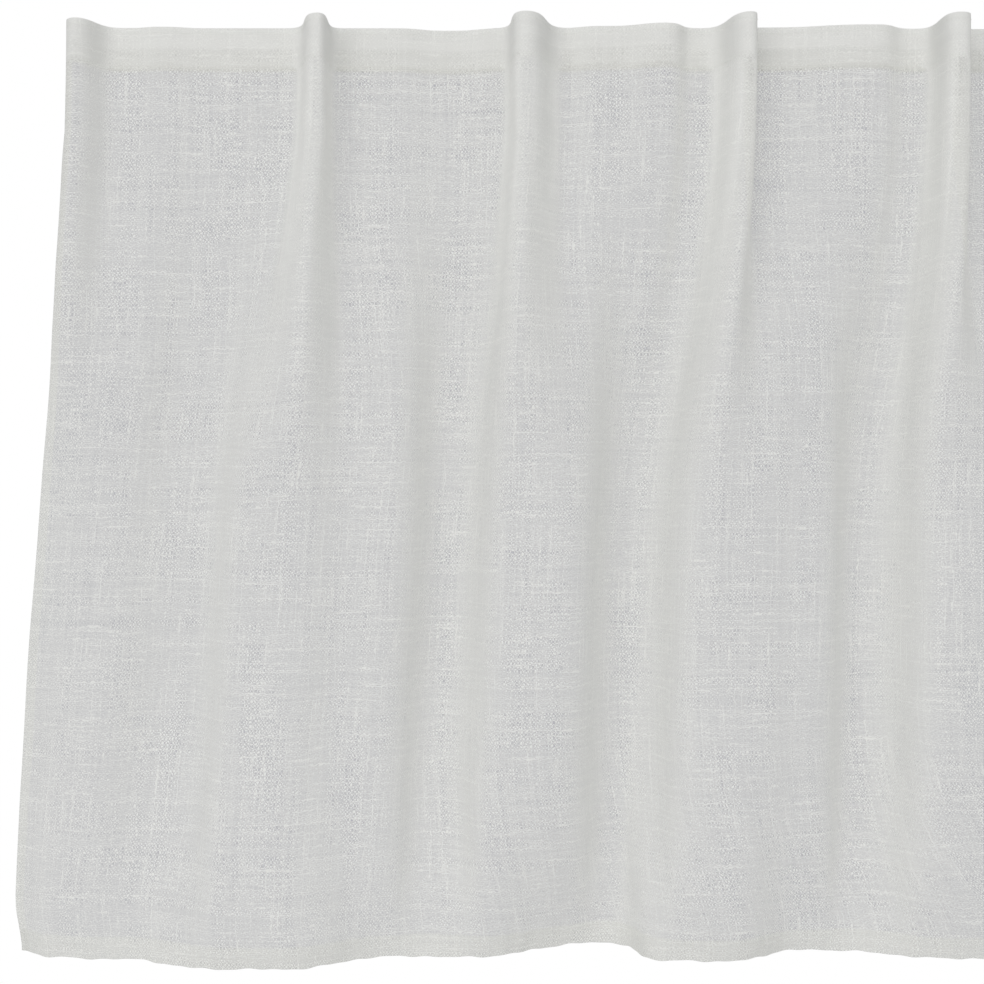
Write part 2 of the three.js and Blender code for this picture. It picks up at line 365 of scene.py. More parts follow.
def closed_up(facing, place, down, heading_turn, hem_seam):
    """How far the holes between the threads are closed: where folds turn the cloth aside, where the pleats
    press it together, and where it is doubled and sewn, in the heading and the bottom hem."""
    aside = smooth(np.arccos(np.clip(-facing[..., 1], 0, 1)) / SHUT_AT)
    turn_ends = smooth((down - heading_turn) / TURN_FADE + 0.5)
    turned_down = mixed(SHUT_TURNED, SHUT_TAPED, turn_ends)
    sewn = mixed(turned_down, 0, smooth((down - STIFF_HEADING + TAPED_ABOVE) / TAPED_FADE))
    sewn += SHUT_HEMMED * smooth((down - hem_seam) / HEMMED_FADE)
    pressed = 1 - smooth((down - STIFF_HEADING) / PRESSED_DEPTH)
    lengths = lengths_along(HEADING_SECTION)
    in_pleat = np.zeros(len(place))
    for first, last in PLEATS:
        start, end = (lengths[spot] / lengths[-1] * HEADING_LENGTH for spot in (first, last))
        in_pleat += smooth((place - start) / PRESSED_SIDE) * smooth((end - place) / PRESSED_SIDE)
    pleated = np.outer(pressed, in_pleat)
    return 1 - (1 - aside * SHUT_ASIDE) * (1 - sewn[:, None]) * (1 - pleated * SHUT_PLEATED)


def turned(flat, gap):
    """Cloth folded back on itself where flat is 0. Negative places are on the turned-back side. Gives how far
    from the fold each place lies, how far behind the front layer, and 1 for cloth facing out or -1 for cloth
    turned over."""
    radius = gap / 2
    angle = np.clip(flat / radius, -math.pi / 2, math.pi / 2)
    beyond = np.maximum(np.abs(flat) - radius * math.pi / 2, 0)
    return radius * (1 - np.cos(angle)) + beyond, radius * (1 - np.sin(angle)), np.sin(angle)


def turned_at_both_ends(flat, size, first_gap, last_gap):
    """The same for cloth of a size that is folded back at both of its ends."""
    first = turned(flat, first_gap)
    last = turned(size - flat, last_gap)
    from_start = flat < size / 2
    place = np.where(from_start, first[0], size - last[0])
    return place, np.where(from_start, first[1], last[1]), np.where(from_start, first[2], last[2])


# Steps of the mesh, in millimetres
SIDE_STEP = 1.5  # across a turned-in side
BESIDE_PLEAT = 4  # the close steps of a pleat reach this far past its feet
TAPE_PLEAT_STEP = 1.6
TAPE_PLAIN_STEP = 4
TURNED_STEP = 2.5  # down the turned-down cloth
HEADING_STEP = 2
BELOW_HEADING = 6  # the heading's steps reach this far below it
FREE_STEP = 6
ABOVE_HEM = 12  # the hem's steps start this far above it
HEM_STEP = 3
TURN_UP_STEP = 2
SIDE_TURN_PARTS = 4  # steps in the depth of the fold along a side
EDGE_TURN_PARTS = 3  # and in that of the fold along the top or bottom edge
TAPE_ROWS = 7  # rows of points down the tape


def spread(*stops):
    """Rising values from (value, step to the next) pairs, ending at the last value."""
    values = []
    for (start, step), (end, _) in zip(stops, stops[1:]):
        count = max(1, round((end - start) / step))
        values.extend(np.linspace(start, end, count, endpoint=False))
    values.append(stops[-1][0])
    return np.array(values, float)


def columns_across(pleat_step, plain_step, turn, gap):
    """Flat places across the cloth, from raw side to raw side, close together in the pleats and turns."""
    lengths = lengths_along(HEADING_SECTION)
    scale = HEADING_LENGTH / lengths[-1]
    turn_step = gap / SIDE_TURN_PARTS
    stops = [(-turn, SIDE_STEP), (-gap, turn_step), (gap, plain_step)]
    for first, last in PLEATS:
        stops.append((lengths[first] * scale - BESIDE_PLEAT, pleat_step))
        stops.append((lengths[last] * scale + BESIDE_PLEAT, plain_step))
    stops += [(HEADING_LENGTH - gap, turn_step), (HEADING_LENGTH + gap, SIDE_STEP)]
    return spread(*stops, (HEADING_LENGTH + turn, SIDE_STEP))


def rows_down(top, heading_gap, hem, hem_gap):
    """Flat places down the cloth, from raw top to raw bottom, close together in the turns."""
    return spread(
        (-top, TURNED_STEP),
        (-heading_gap, heading_gap / EDGE_TURN_PARTS),
        (heading_gap, HEADING_STEP),
        (STIFF_HEADING + BELOW_HEADING, FREE_STEP),
        (DROP - hem - ABOVE_HEM, HEM_STEP),
        (DROP - hem_gap, hem_gap / EDGE_TURN_PARTS),
        (DROP + hem_gap, TURN_UP_STEP),
        (DROP + hem, TURN_UP_STEP),
    )


def sheet_piece(name, points, flat, closeness=None):
    """A sheet of cloth through rows of points in millimetres, from the top down, with its flat cut as its UV
    map. Its closeness, from 0 to 1, is how far the holes between its threads are closed up."""
    rows, columns = points.shape[:2]
    bpy.ops.object.select_all(action="DESELECT")
    bpy.ops.mesh.primitive_grid_add(x_subdivisions=columns - 1, y_subdivisions=rows - 1, calc_uvs=True)
    piece = bpy.context.active_object
    mesh = piece.data
    piece.name = mesh.name = name
    mesh.vertices.foreach_set("co", (points[::-1] * MM).ravel())
    corners = np.zeros(len(mesh.loops), np.int32)
    mesh.loops.foreach_get("vertex_index", corners)
    flat_map = mesh.uv_layers[0]
    flat_map.name = FLAT_MAP
    flat_map.data.foreach_set("uv", (flat[::-1].reshape(-1, 2)[corners] * MM).ravel())
    if closeness is not None:
        shut = mesh.attributes.new(CLOSENESS, "FLOAT", "POINT")
        shut.data.foreach_set("value", closeness[::-1].ravel())
    mesh.update()
    bpy.ops.object.shade_smooth()
    return piece


def finished(piece, material, node=None):
    """Gives a piece its finish and its place in the frame."""
    piece.data.materials.clear()
    piece.data.materials.append(material)
    if node:
        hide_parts(node)
    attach(piece, ROOT)
    return piece


class Amount:
    """A number that varies over a surface. Sums on it add Math nodes."""

    def __init__(self, finish, socket):
        self.finish = finish
        self.socket = socket

    def _math(self, operation, *terms):
        node = self.finish.node("ShaderNodeMath", {"operation": operation}, dict(enumerate(terms or (self,))))
        return Amount(self.finish, node.outputs[0])

    def __add__(self, other):
        return self._math("ADD", self, other)

    __radd__ = __add__

    def __sub__(self, other):
        return self._math("SUBTRACT", self, other)

    def __rsub__(self, other):
        return self._math("SUBTRACT", other, self)

    def __mul__(self, other):
        return self._math("MULTIPLY", self, other)

    __rmul__ = __mul__

    def __truediv__(self, other):
        return self._math("DIVIDE", self, other)

    def nearest(self):
        return self._math("ROUND", self)

    def wave(self):
        """1 at even places, -1 at odd ones."""
        return (self * math.pi)._math("COSINE")

    def size(self):
        return self._math("ABSOLUTE", self)

    def rest_of(self, step):
        return self._math("FLOORED_MODULO", self, step)

    def most(self, other):
        return self._math("MAXIMUM", self, other)

    def rise(self, low, high):
        """0 below low and 1 above high, with a soft step between them."""
        node = self.finish.node("ShaderNodeMapRange", {"interpolation_type": "SMOOTHSTEP"},
                                {"Value": self, "From Min": low, "From Max": high})
        return Amount(self.finish, node.outputs["Result"])


class Finish:
    """A material and the nodes that make it."""

    def __init__(self, name):
        self.material = bpy.data.materials.new(name)
        self.material.use_nodes = True
        self.tree = self.material.node_tree
        self.tree.nodes.clear()

    def node(self, kind, settings=None, values=None):
        """Adds a node: its settings first, then the values or links of its sockets, by name or place."""
        node = self.tree.nodes.new(kind)
        for key, value in (settings or {}).items():
            setattr(node, key, value)
        for key, value in (values or {}).items():
            if isinstance(value, Amount):
                value = value.socket
            if isinstance(value, bpy.types.NodeSocket):
                self.tree.links.new(value, node.inputs[key])
            else:
                node.inputs[key].default_value = value
        return node

    def flat_place(self):
        """Where a point lies on the flat cut, in millimetres across and down."""
        flat = self.node("ShaderNodeUVMap", {"uv_map": FLAT_MAP})
        parts = self.node("ShaderNodeSeparateXYZ", None, {0: flat.outputs[0]})
        return Amount(self, parts.outputs[0]) / MM, Amount(self, parts.outputs[1]) / MM

    def attribute(self, name):
        return Amount(self, self.node("ShaderNodeAttribute", {"attribute_name": name}).outputs["Fac"])

    def cloudy(self, across, down, size, start=(0, 0)):
        """Soft noise in marks of a size, from 0 to 1 and mostly near a half, from its own starting place."""
        place = self.node("ShaderNodeCombineXYZ", None, {0: across, 1: down})
        marks = self.node("ShaderNodeMapping", None,
                          {"Vector": place.outputs[0], "Location": (*start, 0),
                           "Scale": (1 / size[0], 1 / size[1], 1)})
        noise = self.node("ShaderNodeTexNoise", {"noise_dimensions": "2D"},
                          {"Vector": marks.outputs[0], "Scale": 1.0, "Detail": 0.0})
        return Amount(self, noise.outputs[0])

    def blend(self, factor, first, second):
        """One colour turning into another."""
        node = self.node("ShaderNodeMix", {"data_type": "RGBA"}, {0: factor, 6: first, 7: second})
        return node.outputs[2]

    def shader_mix(self, factor, first, second):
        node = self.node("ShaderNodeMixShader", None, {0: factor, 1: first, 2: second})
        return node.outputs[0]

    def end(self, surface):
        self.node("ShaderNodeOutputMaterial", None, {"Surface": surface})
        return self.material


def between(first, second):
    """The colour halfway between two colours."""
    return (*[(a + b) / 2 for a, b in zip(first, second)], 1)


# The weave. Marks have two sizes in millimetres, the second along the threads or down the cloth. A thread's
# number, multiplied by a draw, takes the thread to its own line of the noise.
SWAY = 1.4  # threads drift sideways together by about this many threads
SWAY_MARKS = (31, 27)
JITTER = 1.6  # and shake a little on their own
JITTER_MARKS = (1.4, 2.5)
THREAD_SIDE = (0.1, 0.45)  # a thread thins out between these shares of the pitch from its middle
SLUB_DRAW = 3.71
SLUB_LENGTH = 30
SLUB_RISE = (0.62, 0.88)
THICK_DRAW = 5.37
WARP_STREAK, WEFT_STREAK = 120, 80  # a thread keeps its thickness over about this length
RUN_DRAW = 2.93
RUN_LENGTH = 9
RUN_RISE = (0.5, 0.75)
WARP_START, WEFT_START = 11.0, 47.0  # where threads and marks start in the noise
LEVEL_START, PATCH_START, CROSSING_START, MOTTLE_START = (0, 40), (9, 0), (70, 0), (31, 5)
UPRIGHT_BARS, LEVEL_BARS, PATCHES = (7, 150), (220, 4), (26, 34)  # marks of strong and faint grain
GRAIN_RISE = (1.15, 1.95)
FAINT_GRAIN = 0.15  # share of the grain that is left where it is faintest
CROSSINGS = (1.1, 1.3)
CROSSING_GAIN, CROSSING_LOSS = 2.5, 0.2
RUN_GRAIN = 0.4  # share of the grain made by threads that run clear
WARP_LINES, WEFT_LINES = 0.15, 0.35  # share made by each thread's own line
SLUB_COVER = 0.85
WARP_UNEVEN, WEFT_UNEVEN = 0.95, 1.05
MOTTLE = 0.5  # closed cloth is mottled
MOTTLE_MARKS = (19, 8)
# The grain's share of the tone is painted highlight on the thread on top at each crossing and painted shade
# on the thread underneath and between threads.
PLAIN_TONE, WEAVE_SHADE_TONE, UNEVEN_TONE, SLUB_TONE = 0.5, 0.3, 0.5, 0.4
CLOSED_TONE = 0.7  # closed cloth hides this share of the grain's tone
DOUBLED = (0.62, 0.76)  # from single to doubled cloth, by how far the holes are closed
DOUBLED_GLOW = 0.6  # doubled cloth loses this share of its glow


def threads_beside(finish, across, along, pitch, streak, start):
    """Threads lying side by side. Gives a wave that is 1 on one thread and -1 on the next, a line that is 1
    on every thread and -1 between them, where a thread runs clear of those around it, the slubs in them, and
    how much thicker or thinner each thread is than the rest."""
    sway = finish.cloudy(across, along, SWAY_MARKS, (start, 0)) * SWAY
    jitter = finish.cloudy(across, along, JITTER_MARKS, (0, start)) * JITTER
    place = across / pitch + sway + jitter
    number = place.nearest()
    from_middle = (place - number).size()
    on_thread = 1 - from_middle.rise(*THREAD_SIDE)
    slub = finish.cloudy(number * SLUB_DRAW, along, (1, SLUB_LENGTH), (start, 0)).rise(*SLUB_RISE) * on_thread
    thickness = (finish.cloudy(number * THICK_DRAW, along, (1, streak), (-start, 0)) - 0.5) * on_thread
    run = finish.cloudy(number * RUN_DRAW, along, (1, RUN_LENGTH), (start, 0)).rise(*RUN_RISE)
    return place.wave(), 1 - from_middle * 4, run, slub, thickness


def sheer_cloth(look):
    """Sheer plain weave with slubs both ways: warm white threads with small holes between them, with painted
    highlight on the thread on top at each crossing and painted shade on the threads underneath and between
    them.
    """
    finish = Finish(CLOTH_SLOT)
    across, down = finish.flat_place()
    shut = finish.attribute(CLOSENESS)
    warp, warp_line, warp_run, warp_slub, warp_thick = threads_beside(
        finish, across, down, look.warp_pitch / MM, WARP_STREAK, WARP_START)
    weft, weft_line, weft_run, weft_slub, weft_thick = threads_beside(
        finish, down, across, look.weft_pitch / MM, WEFT_STREAK, WEFT_START)
    bars = finish.cloudy(across, down, UPRIGHT_BARS) + finish.cloudy(across, down, LEVEL_BARS, LEVEL_START)
    patches = finish.cloudy(across, down, PATCHES, PATCH_START)
    contrast = (bars + patches).rise(*GRAIN_RISE) * (1 - FAINT_GRAIN) + FAINT_GRAIN
    crossings = finish.cloudy(across, down, CROSSINGS, CROSSING_START) * CROSSING_GAIN - CROSSING_LOSS
    runs = (warp * warp_run + weft * weft_run) * RUN_GRAIN
    grain = (warp * weft * crossings + runs) * contrast + warp_line * WARP_LINES + weft_line * WEFT_LINES
    slubs = warp_slub.most(weft_slub) * SLUB_COVER
    thickness = warp_thick * WARP_UNEVEN + weft_thick * WEFT_UNEVEN
    open_share = (1 - shut) * (1 - look.cover)
    cover = 1 - open_share * (1 - grain * look.grain - thickness) * (1 - slubs)
    mottle = (finish.cloudy(across, down, MOTTLE_MARKS, MOTTLE_START) - 0.5) * shut * MOTTLE
    # Painted highlight and shade: the grain's checkerboard lightens the thread on top at each crossing and
    # darkens the one underneath, and its thread lines darken the gaps between threads. Thickness, slubs and
    # mottle are the threads' own tone.
    detail = (grain * WEAVE_SHADE_TONE + thickness * UNEVEN_TONE) * (1 - shut * CLOSED_TONE)
    tone = PLAIN_TONE + detail + slubs * SLUB_TONE + mottle
    colour = finish.blend(tone, (*look.shaded_and_thin_thread, 1), (*look.lit_and_slub_thread, 1))
    threads = finish.node("ShaderNodeBsdfPrincipled", None,
                          {"Base Color": colour, "Roughness": 0.92, "Specular IOR Level": 0.2,
                           "Sheen Weight": 0.12, "Sheen Roughness": 0.5})
    through = between(look.shaded_and_thin_thread, look.lit_and_slub_thread)
    glow = finish.node("ShaderNodeBsdfTranslucent", None, {"Color": through})
    doubled = shut.rise(*DOUBLED)
    cloth = finish.shader_mix(look.glow * (1 - doubled * DOUBLED_GLOW), threads.outputs[0], glow.outputs[0])
    holes = finish.node("ShaderNodeBsdfTransparent")
    return finish.end(finish.shader_mix(cover, holes.outputs[0], cloth))


# The tape's weave: sizes in millimetres, and shares
RIB_PITCH, PICK_PITCH, CORD_PITCH = 0.8, 0.5, 5.5  # from one rib, pick or thicker cord to the next
RIB_SWAY = 0.6  # ribs drift sideways by about this many ribs
RIB_SWAY_MARKS = (20, 5)
RIB_SIDE = (0.3, 1.0)  # a rib falls away between these shares of half its pitch
PICK_SIDE = (0.4, 1.0)  # and a pick between these
CORD_SIDE = 0.12  # a cord's crest is this share of its half pitch, and so is its side
RIB_HEIGHT, PICK_HEIGHT, CORD_HEIGHT = 0.5, 0.3, 0.8
TAPE_RELIEF = 0.3
RELIEF_STRENGTH = 0.6
# share of the tape's relief painted as shade in its grooves and highlight on its raised threads
TAPE_GROOVE_SHADE = 0.6
TAPE_GLOW = 0.25


def off_middle(place):
    """How far a place lies from the middle of its repeat: 0 in the middle and 1 where the next one begins."""
    return (place.rest_of(1.0) - 0.5).size() * 2


def woven_tape(look):
    """A close woven tape with a fine rib across it, with painted shade in the grooves and painted highlight
    on the raised ribs, picks and cords.
    """
    finish = Finish(TAPE_SLOT)
    across, down = finish.flat_place()
    sway = finish.cloudy(across, down, RIB_SWAY_MARKS) * RIB_SWAY
    ribs = 1 - off_middle(across / RIB_PITCH + sway).rise(*RIB_SIDE)
    picks = 1 - off_middle(down / PICK_PITCH).rise(*PICK_SIDE)
    cords = 1 - off_middle(down / CORD_PITCH).rise(CORD_SIDE, 2 * CORD_SIDE)
    height = ribs * RIB_HEIGHT + picks * PICK_HEIGHT + cords * CORD_HEIGHT
    # Painted shade: the colour is darker where the relief is low, between the ribs, picks and cords, and
    # lighter on their tops. The Bump node that follows gives the relief itself.
    colour = finish.blend(height * TAPE_GROOVE_SHADE, (*look.tape_shaded_grooves, 1), (*look.tape_lit_ribs, 1))
    bump = finish.node("ShaderNodeBump", None,
                       {"Strength": RELIEF_STRENGTH, "Distance": TAPE_RELIEF * MM, "Height": height})
    threads = finish.node("ShaderNodeBsdfPrincipled", None,
                          {"Base Color": colour, "Roughness": 0.9, "Specular IOR Level": 0.2,
                           "Normal": bump.outputs[0]})
    through = between(look.tape_shaded_grooves, look.tape_lit_ribs)
    glow = finish.node("ShaderNodeBsdfTranslucent", None, {"Color": through})
    return finish.end(finish.shader_mix(TAPE_GLOW, threads.outputs[0], glow.outputs[0]))


TWISTS_PER_METRE = 900.0


def sewing_thread(look):
    """Twisted sewing thread, matched to the cloth."""
    finish = Finish("sewing_thread")
    place = finish.node("ShaderNodeTexCoord").outputs["Object"]
    twist = finish.node("ShaderNodeTexNoise", None,
                        {"Vector": place, "Scale": TWISTS_PER_METRE, "Detail": 1.0})
    colour = finish.blend(twist.outputs[0], (*look.shaded_and_thin_thread, 1), (*look.lit_and_slub_thread, 1))
    thread = finish.node("ShaderNodeBsdfPrincipled", None,
                         {"Base Color": colour, "Roughness": 0.7, "Specular IOR Level": 0.3})
    return finish.end(thread.outputs[0])


class ValancePanelSizes(bpy.types.PropertyGroup):
    """Sizes of the cloth."""

    hem_depth: FloatProperty(
        name="Hem depth", description="Cloth turned up at the bottom edge", default=0.012, unit="LENGTH")
    heading_turn: FloatProperty(
        name="Heading turn", description="Cloth turned down behind the top edge",
        default=0.0115, unit="LENGTH")
    side_turn: FloatProperty(
        name="Side hem", description="Cloth turned in along each side", default=0.006, unit="LENGTH")
    hem_gap: FloatProperty(
        name="Hem gap", description="Depth of the fold along the bottom edge",
        default=0.0009, unit="LENGTH")
    heading_gap: FloatProperty(
        name="Heading gap", description="Depth of the fold along the top edge",
        default=0.0008, unit="LENGTH")
    side_gap: FloatProperty(
        name="Side gap", description="Depth of the fold along each side", default=0.00035, unit="LENGTH")
    forward: FloatProperty(
        name="Forward", description="How far the front layer lies before the middle of the cloth",
        default=0.0002, unit="LENGTH")
    pleat_step: FloatProperty(
        name="Step in the pleats", description="Spacing of the mesh across the pleats",
        default=0.0013, unit="LENGTH")
    plain_step: FloatProperty(
        name="Step between pleats", description="Spacing of the mesh across the flat cloth",
        default=0.0027, unit="LENGTH")


class ValanceTapeSizes(bpy.types.PropertyGroup):
    """Sizes of the heading tape."""

    top: FloatProperty(
        name="Top", description="Distance of the tape below the top edge", default=0.0015, unit="LENGTH")
    bottom: FloatProperty(
        name="Bottom", description="Distance of the tape's lower edge below the top edge",
        default=0.0235, unit="LENGTH")
    thickness: FloatProperty(
        name="Thickness", description="Thickness of the tape", default=0.0006, unit="LENGTH")
    behind: FloatProperty(
        name="Behind", description="Distance of the tape's front behind the middle of the cloth",
        default=0.00085, unit="LENGTH")


class ValanceStitchSizes(bpy.types.PropertyGroup):
    """Sizes of the sewing."""

    length: FloatProperty(
        name="Stitch length", description="Length of one stitch", default=0.0024, unit="LENGTH")
    pitch: FloatProperty(
        name="Stitch pitch", description="Distance from one stitch to the next",
        default=0.0032, unit="LENGTH")
    thickness: FloatProperty(
        name="Thread thickness", description="Thickness of the sewing thread",
        default=0.0003, unit="LENGTH")


class ValanceLook(bpy.types.PropertyGroup):
    """Colours and weave."""

    # The lighter thread colour is painted highlight on threads on top at the crossings and the colour of
    # slubs and thick threads. The darker one is painted shade under and between threads and the colour of
    # thin threads.
    lit_and_slub_thread: FloatVectorProperty(
        name="Raised threads", description="Colour of threads on top of the weave",
        default=(0.95, 0.952, 0.925), subtype="COLOR", min=0, max=1)
    shaded_and_thin_thread: FloatVectorProperty(
        name="Lower threads", description="Colour of threads that pass underneath",
        default=(0.86, 0.861, 0.838), subtype="COLOR", min=0, max=1)
    # The tape's lighter colour is painted highlight on its raised ribs, and its darker colour is painted
    # shade in the grooves between them.
    tape_lit_ribs: FloatVectorProperty(
        name="Tape ribs", description="Colour of the tape's ribs",
        default=(0.95, 0.95, 0.91), subtype="COLOR", min=0, max=1)
    tape_shaded_grooves: FloatVectorProperty(
        name="Tape grooves", description="Colour between the tape's ribs",
        default=(0.86, 0.86, 0.82), subtype="COLOR", min=0, max=1)
    warp_pitch: FloatProperty(
        name="Warp pitch", description="Distance between upright threads", default=0.00096, unit="LENGTH")
    weft_pitch: FloatProperty(
        name="Weft pitch", description="Distance between level threads", default=0.0011, unit="LENGTH")
    cover: FloatProperty(
        name="Cover", description="Share of free-hanging cloth that its threads cover",
        default=0.72, subtype="FACTOR", min=0, max=1)
    grain: FloatProperty(
        name="Grain", description="How uneven the holes between the threads are",
        default=1.25, subtype="FACTOR", min=0, max=2)
    glow: FloatProperty(
        name="Glow", description="Share of light that passes through the threads",
        default=0.27, subtype="FACTOR", min=0, max=1)


class ValanceStageSettings(bpy.types.PropertyGroup):
    """Camera, light and floor."""

    camera_place: FloatVectorProperty(
        name="Camera", description="Where the camera stands",
        default=(-0.303, -0.9, -0.251), subtype="TRANSLATION")
    lens: FloatProperty(
        name="Lens", description="Focal length in millimetres", default=60.75, unit="CAMERA")
    floor_drop: FloatProperty(
        name="Floor drop", description="Distance of the floor below the top edge",
        default=0.95, unit="LENGTH")
    floor_radius: FloatProperty(
        name="Floor radius", description="Radius of the floor", default=1.2, unit="LENGTH")
    floor_colour: FloatVectorProperty(
        name="Floor colour", description="Colour of the floor",
        default=(0.9, 0.9, 0.89), subtype="COLOR", min=0, max=1)
    room_light: FloatProperty(
        name="Room light", description="Strength of the even light from all sides",
        default=0.525, subtype="FACTOR", min=0, max=2)
    room_colour: FloatVectorProperty(
        name="Room light's colour", description="Colour of the even light",
        default=(0.985, 0.992, 1.0), subtype="COLOR", min=0, max=1)
    key_colour: FloatVectorProperty(
        name="Key light's colour", description="Colour of the light from front left",
        default=(1.0, 0.99, 0.975), subtype="COLOR", min=0, max=1)
    key_place: FloatVectorProperty(
        name="Key light's place", description="Middle of the light from front left",
        default=(-1.4, -3.8, 0.1), subtype="TRANSLATION")
    key_power: FloatProperty(
        name="Key light", description="Power of the light from front left", default=45, unit="POWER")
    top_place: FloatVectorProperty(
        name="Top light's place", description="Middle of the light from above",
        default=(-0.3, -2.0, 3.2), subtype="TRANSLATION")
    top_power: FloatProperty(
        name="Top light", description="Power of the light from above", default=24, unit="POWER")
    light_size: FloatProperty(
        name="Light size", description="Side of each square light", default=3, unit="LENGTH")
    seen_through: FloatVectorProperty(
        name="Seen through the cloth",
        description="What shows behind sheer cloth, a little darker than the backdrop",
        default=(0.375, 0.378, 0.418), subtype="COLOR", min=0, max=1)


class VALANCE_OT_panel(bpy.types.Operator):
    """Makes the sheer cloth with its turned hems"""

    bl_idname = "valance.panel"
    bl_label = "Valance cloth"

    def execute(self, context):
        sizes = context.scene.valance_panel
        turn, side_gap = sizes.side_turn / MM, sizes.side_gap / MM
        top, heading_gap = sizes.heading_turn / MM, sizes.heading_gap / MM
        hem, hem_gap = sizes.hem_depth / MM, sizes.hem_gap / MM
        flat_across = columns_across(sizes.pleat_step / MM, sizes.plain_step / MM, turn, side_gap)
        flat_down = rows_down(top, heading_gap, hem, hem_gap)
        place, behind_side, _ = turned_at_both_ends(flat_across, HEADING_LENGTH, side_gap, side_gap)
        down, behind, side = turned_at_both_ends(flat_down, DROP, heading_gap, hem_gap)
        points, facing = hanging(place / HEADING_LENGTH, down)
        layers = behind[:, None] + side[:, None] * behind_side[None, :]
        stand = sizes.forward / MM + unevenness(place, down, DROP - hem) - layers
        points += facing * stand[..., None]
        points[..., 2] -= np.outer(smooth((down - DROP + hem) / hem), edge_waves(place))
        flat = np.stack(np.meshgrid(flat_across + turn, flat_down + top), axis=-1)
        piece = sheet_piece(PANEL, points, flat, closed_up(facing, place, down, top, DROP - hem))
        finished(piece, sheer_cloth(context.scene.valance_look), PANEL_NODE)
        return {"FINISHED"}


class VALANCE_OT_tape(bpy.types.Operator):
    """Makes the woven tape across the back of the heading"""

    bl_idname = "valance.tape"
    bl_label = "Heading tape"

    def execute(self, context):
        panel, sizes = context.scene.valance_panel, context.scene.valance_tape
        flat_across = columns_across(TAPE_PLEAT_STEP, TAPE_PLAIN_STEP, 0, panel.side_gap / MM)
        flat_across = np.unique(np.clip(flat_across, 0, HEADING_LENGTH))
        down = np.linspace(sizes.top / MM, sizes.bottom / MM, TAPE_ROWS)
        points, facing = hanging(flat_across / HEADING_LENGTH, down)
        points -= facing * (sizes.behind + sizes.thickness / 2) / MM
        flat = np.stack(np.meshgrid(flat_across, down), axis=-1)
        piece = sheet_piece(TAPE, points, flat)
        wall = piece.modifiers.new("Thickness", "SOLIDIFY")
        wall.thickness = sizes.thickness
        wall.offset = 0
        bpy.ops.object.modifier_apply(modifier=wall.name)
        finished(piece, woven_tape(context.scene.valance_look), TAPE_NODE)
        return {"FINISHED"}


STITCH_SIDES = 6
STITCH_RINGS = 4
STANDS_OFF = 0.25  # a stitch's middle stands off the cloth by this share of its thickness
TAPE_SEAM_IN = 1.6  # millimetres from each edge of the tape to its sewing
HEM_SEAM_IN = 1.5  # millimetres from the hem's raw edge to its sewing


def stitch_seams(panel, tape):
    """Each seam's distance down, and how far its front and back stitches lie from the middle of the cloth."""
    hem_line = DROP - panel.hem_depth / MM + HEM_SEAM_IN
    tape_back = -(tape.behind + tape.thickness) / MM
    front = panel.forward / MM
    return (
        (tape.top / MM + TAPE_SEAM_IN, front, tape_back),
        (tape.bottom / MM - TAPE_SEAM_IN, front, tape_back),
        (hem_line, front, front - panel.hem_gap / MM),
    )


class VALANCE_OT_stitches(bpy.types.Operator):
    """Makes the rows of stitches along the tape and the bottom hem"""

    bl_idname = "valance.stitches"
    bl_label = "Stitching"

    def execute(self, context):
        panel, tape, sizes = (context.scene.valance_panel, context.scene.valance_tape,
                              context.scene.valance_stitches)
        bpy.ops.object.select_all(action="DESELECT")
        bpy.ops.mesh.primitive_uv_sphere_add(segments=STITCH_SIDES, ring_count=STITCH_RINGS, radius=0.5)
        piece = bpy.context.active_object
        piece.name = piece.data.name = SEWING
        bpy.ops.object.mode_set(mode="EDIT")
        bpy.ops.mesh.select_all(action="SELECT")
        bpy.ops.transform.rotate(value=math.pi / 2, orient_axis="Y", center_override=(0, 0, 0))
        bpy.ops.transform.resize(value=(sizes.length / MM, sizes.thickness / MM, sizes.thickness / MM),
                                 center_override=(0, 0, 0))
        bpy.ops.object.mode_set(mode="OBJECT")
        one = np.array([vertex.co for vertex in piece.data.vertices], float)
        faces = sorted(list(polygon.vertices) for polygon in piece.data.polygons)
        verts, all_faces = [], []
        for down, front, back in stitch_seams(panel, tape):
            row_length = lengths_along(row_at(down))[-1]
            count = int(row_length / (sizes.pitch / MM))
            shares = (np.arange(count) + 0.5) / count
            points, facing = hanging(shares, [down])
            points, facing = points[0], facing[0]
            place = shares * HEADING_LENGTH
            rise = unevenness(place, [down], DROP - panel.hem_depth / MM)[0]
            for offset, sign in ((front, 1), (back, -1)):
                stand = offset + rise + sign * STANDS_OFF * sizes.thickness / MM
                middles = points + facing * stand[:, None]
                along = np.column_stack([-facing[:, 1], facing[:, 0], np.zeros(count)])
                for middle, run, out in zip(middles, along, facing):
                    upward = np.cross(run, out)
                    all_faces.extend([[corner + len(verts) for corner in face] for face in faces])
                    verts.extend(middle + one @ np.array([run, out, upward]))
        piece.data.clear_geometry()
        piece.data.from_pydata((np.array(verts) * MM).tolist(), [], all_faces)
        piece.data.update()
        bpy.ops.object.shade_smooth()
        finished(piece, sewing_thread(context.scene.valance_look))
        return {"FINISHED"}


FLOOR_SIDES = 96
FADE_STARTS = 0.35  # the floor starts to fade at this share of its radius


